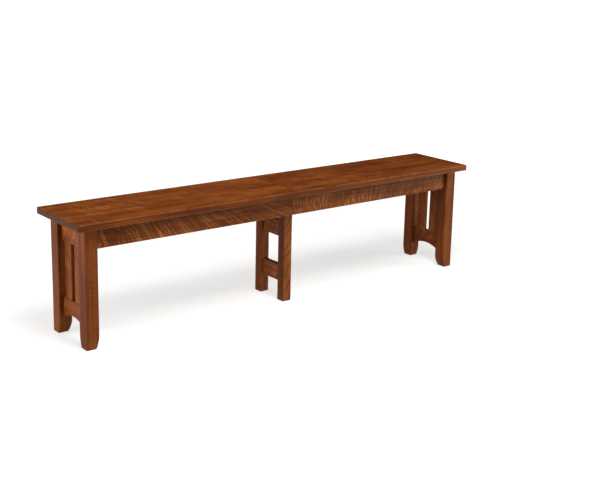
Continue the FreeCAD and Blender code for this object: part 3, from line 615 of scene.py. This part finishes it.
class BENCH_OT_fixings(bpy.types.Operator):
    """Screws, bolts, axles and stop pins"""
    bl_idname = "bench.fixings"
    bl_label = "Fixings"

    def execute(self, context):
        inner = context.scene.bench_inner
        zinc = bright_metal("zinc_plated_fixings", inner.zinc, (3, 3, 3), 0.33, 0.02 * MM)
        up = (0, 0, 1)
        for half, way in zip(HALVES, (-1, 1)):
            screws = [(lambda: wood_screw(34.0), (way * x, 0, CLEAT_UNDERSIDE), up) for x in (490, 710)]
            screws += [(lambda: wood_screw(62.5), (way * x, way * y, SLIDE_UNDERSIDE), up)
                       for x in (110, 385) for y in (-30.5, 79.5)]
            fixings(half + "_wood_screws", screws, zinc, half + "_half", half + "_screws")
            bolts = []
            for side in (-1, 1):
                inwards = Vector((-way, -side, 0)).normalized()
                corner = Vector((way * 830, side * 76, PIN_HEIGHT))
                bolts.append((lambda: hanger_bolt(63.81), corner - inwards * 22, inwards))
            fixings(half + "_hanger_bolts", bolts, zinc, half + "_half", half + "_leg_bolts")
        axles = [(pinion_axle, (0, y, POCKET_FLOOR), up) for y in SLIDE_LINES]
        fixings("shouldered_axles", axles, zinc, "centre_frame", "pinion_axles")
        pins = [(stop_pin, (way * 300, y + way, PIN_HEIGHT), (0, way, 0))
                for way in (-1, 1) for y in SLIDE_LINES]
        fixings("slide_stop_pins", pins, zinc, "centre_frame", "stop_pins")
        screws = [(lambda: wood_screw(39.5), (x, y, BOLSTER_UNDERSIDE), up)
                  for x in (-22, 22) for y in SLIDE_LINES]
        fixings("bolster_wood_screws", screws, zinc, "centre_frame", "bolster_screws")
        return {"FINISHED"}


class BENCH_OT_studio(bpy.types.Operator):
    """Pale floor, soft lamps and the camera"""
    bl_idname = "bench.studio"
    bl_label = "Studio"

    def execute(self, context):
        studio = context.scene.bench_studio
        self.make_floor(context, studio)
        self.make_world(context, studio)
        self.make_lamps(context)
        self.make_curtain(context)
        self.make_camera(context, studio)
        context.scene.view_settings.view_transform = "Standard"
        return {"FINISHED"}

    def make_floor(self, context, studio):
        """A wide pale floor. Where it is seen it is lifted to white, the more the farther it is from
        the bench, and it keeps its shadows."""
        form = bmesh.new()
        bmesh.ops.create_grid(form, x_segments=1, y_segments=1, size=30.0)
        mesh = bpy.data.meshes.new("studio_floor")
        form.to_mesh(mesh)
        form.free()
        floor = bpy.data.objects.new("studio_floor", mesh)
        context.collection.objects.link(floor)
        material, tree, shader = new_material("matt_painted_floor")
        shader.inputs["Base Color"].default_value = opaque(studio.floor)
        shader.inputs["Roughness"].default_value = 0.9
        shader.inputs["Specular IOR Level"].default_value = 0.0
        shader.inputs["Emission Color"].default_value = (1.0, 1.0, 1.0, 1.0)
        place = add(tree, "TexCoord").outputs["Object"]
        distance = add(tree, "VectorMath", (place,), operation="LENGTH").outputs["Value"]
        lift = add(tree, "MapRange", (distance, 1.0, 3.2, 0.58, 1.0), **EASED).outputs[0]
        lift = add(tree, "Math", (lift, seen_rays(tree)), operation="MULTIPLY").outputs[0]
        tree.links.new(lift, shader.inputs["Emission Strength"])
        mesh.materials.append(material)

    def make_curtain(self, context):
        """A dark curtain all round, which only reflections show: it keeps the glare of the white
        background off the waxed seat."""
        form = bmesh.new()
        bmesh.ops.create_circle(form, segments=64, radius=5.2)
        raised = bmesh.ops.extrude_edge_only(form, edges=form.edges[:])["geom"]
        top = [part for part in raised if isinstance(part, bmesh.types.BMVert)]
        bmesh.ops.translate(form, vec=(0, 0, 7.5), verts=top)
        mesh = bpy.data.meshes.new("studio_curtain")
        form.to_mesh(mesh)
        form.free()
        material, tree, shader = new_material("matt_black_cloth")
        shader.inputs["Base Color"].default_value = (0.02, 0.02, 0.02, 1.0)
        shader.inputs["Roughness"].default_value = 1.0
        shader.inputs["Specular IOR Level"].default_value = 0.0
        mesh.materials.append(material)
        curtain = bpy.data.objects.new("studio_curtain", mesh)
        curtain.visible_camera = False
        curtain.visible_diffuse = False
        curtain.visible_transmission = False
        curtain.visible_volume_scatter = False
        curtain.visible_shadow = False
        context.collection.objects.link(curtain)

    def make_world(self, context, studio):
        """Even daylight, with a white background for the camera and for metal."""
        world = bpy.data.worlds.new("studio_world")
        world.use_nodes = True
        tree = world.node_tree
        tree.nodes.clear()
        light = add(tree, "Background", {"Color": (0.96, 0.98, 1.0, 1.0), "Strength": studio.daylight})
        white = add(tree, "Background", {"Color": (1.0, 1.0, 1.0, 1.0), "Strength": 1.0})
        both = add(tree, "MixShader", (seen_rays(tree), light.outputs[0], white.outputs[0]))
        add(tree, "OutputWorld", (both.outputs[0],))
        context.scene.world = world

    def make_lamps(self, context):
        """Soft boxes, each with its place and size in metres, watts and colour: a strong one overhead
        and weaker ones on all four sides. Those that would glare off the seat stay out of
        reflections."""
        boxes = {
            "overhead_box": ((-0.4, -1.5, 3.1), 1.5, 78.0, (1.0, 0.99, 0.97)),
            "front_box": ((-0.8, -3.6, 1.8), 1.6, 5.0, (1.0, 0.98, 0.95)),
            "left_box": ((-3.4, 0.5, 1.0), 1.9, 52.0, (1.0, 0.99, 0.97)),
            "right_box": ((3.0, -2.0, 0.6), 1.2, 38.0, (0.98, 1.0, 0.86)),
            "back_box": ((0.4, 3.6, 1.8), 1.8, 14.0, (1.0, 0.99, 0.98)),
        }
        for name, (place, size, power, colour) in boxes.items():
            lamp = bpy.data.lights.new(name, "AREA")
            lamp.size = size
            lamp.energy = power
            lamp.color = colour
            box = bpy.data.objects.new(name, lamp)
            aim = Vector((0.0, 0.0, 0.3)) - Vector(place)
            box.matrix_world = Matrix.Translation(place) @ aim.to_track_quat("-Z", "Y").to_matrix().to_4x4()
            box.visible_glossy = name not in ("left_box", "back_box")
            context.collection.objects.link(box)

    def make_camera(self, context, studio):
        """The camera, at the photograph's viewing angle."""
        turn, tilt, roll = studio.camera_turn, studio.camera_tilt, studio.camera_roll
        right = Vector((math.cos(turn), -math.sin(turn), 0.0))
        ahead = Vector((math.sin(turn) * math.cos(tilt), math.cos(turn) * math.cos(tilt), -math.sin(tilt)))
        up = right.cross(ahead)
        leaned_right = math.cos(roll) * right + math.sin(roll) * up
        leaned_up = math.cos(roll) * up - math.sin(roll) * right
        axes = Matrix((leaned_right, leaned_up, -ahead)).transposed().to_4x4()
        lens = bpy.data.cameras.new("camera")
        lens.sensor_width = 36.0
        lens.lens = studio.lens
        lens.shift_x, lens.shift_y = studio.shift
        camera = bpy.data.objects.new("camera", lens)
        camera.matrix_world = Matrix.Translation(studio.camera_place) @ axes
        context.collection.objects.link(camera)
        context.scene.camera = camera


class BENCH_PT_panel(bpy.types.Panel):
    """Lists the steps that finish the bench"""
    bl_idname = "BENCH_PT_panel"
    bl_label = "Extending oak bench"
    bl_space_type = "VIEW_3D"
    bl_region_type = "UI"
    bl_category = "Bench"

    def draw(self, context):
        for step in STEPS:
            self.layout.operator(step.bl_idname)


STEPS = (
    BENCH_OT_seat,
    BENCH_OT_aprons,
    BENCH_OT_end_frames,
    BENCH_OT_centre_frame,
    BENCH_OT_inner_timber,
    BENCH_OT_gears,
    BENCH_OT_fixings,
    BENCH_OT_studio,
)
SETTINGS = {"bench_oak": OakSettings, "bench_inner": InnerSettings, "bench_studio": StudioSettings}


def register():
    """Registers the settings, the steps and the panel."""
    for name, group in SETTINGS.items():
        bpy.utils.register_class(group)
        setattr(bpy.types.Scene, name, bpy.props.PointerProperty(type=group))
    for step in STEPS:
        bpy.utils.register_class(step)
    bpy.utils.register_class(BENCH_PT_panel)


def unregister():
    """Removes what register added."""
    bpy.utils.unregister_class(BENCH_PT_panel)
    for step in reversed(STEPS):
        bpy.utils.unregister_class(step)
    for name, group in SETTINGS.items():
        delattr(bpy.types.Scene, name)
        bpy.utils.unregister_class(group)


def main():
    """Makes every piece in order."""
    register()
    for step in STEPS:
        family, name = step.bl_idname.split(".")
        getattr(getattr(bpy.ops, family), name)()


if __name__ == "__main__":
    main()
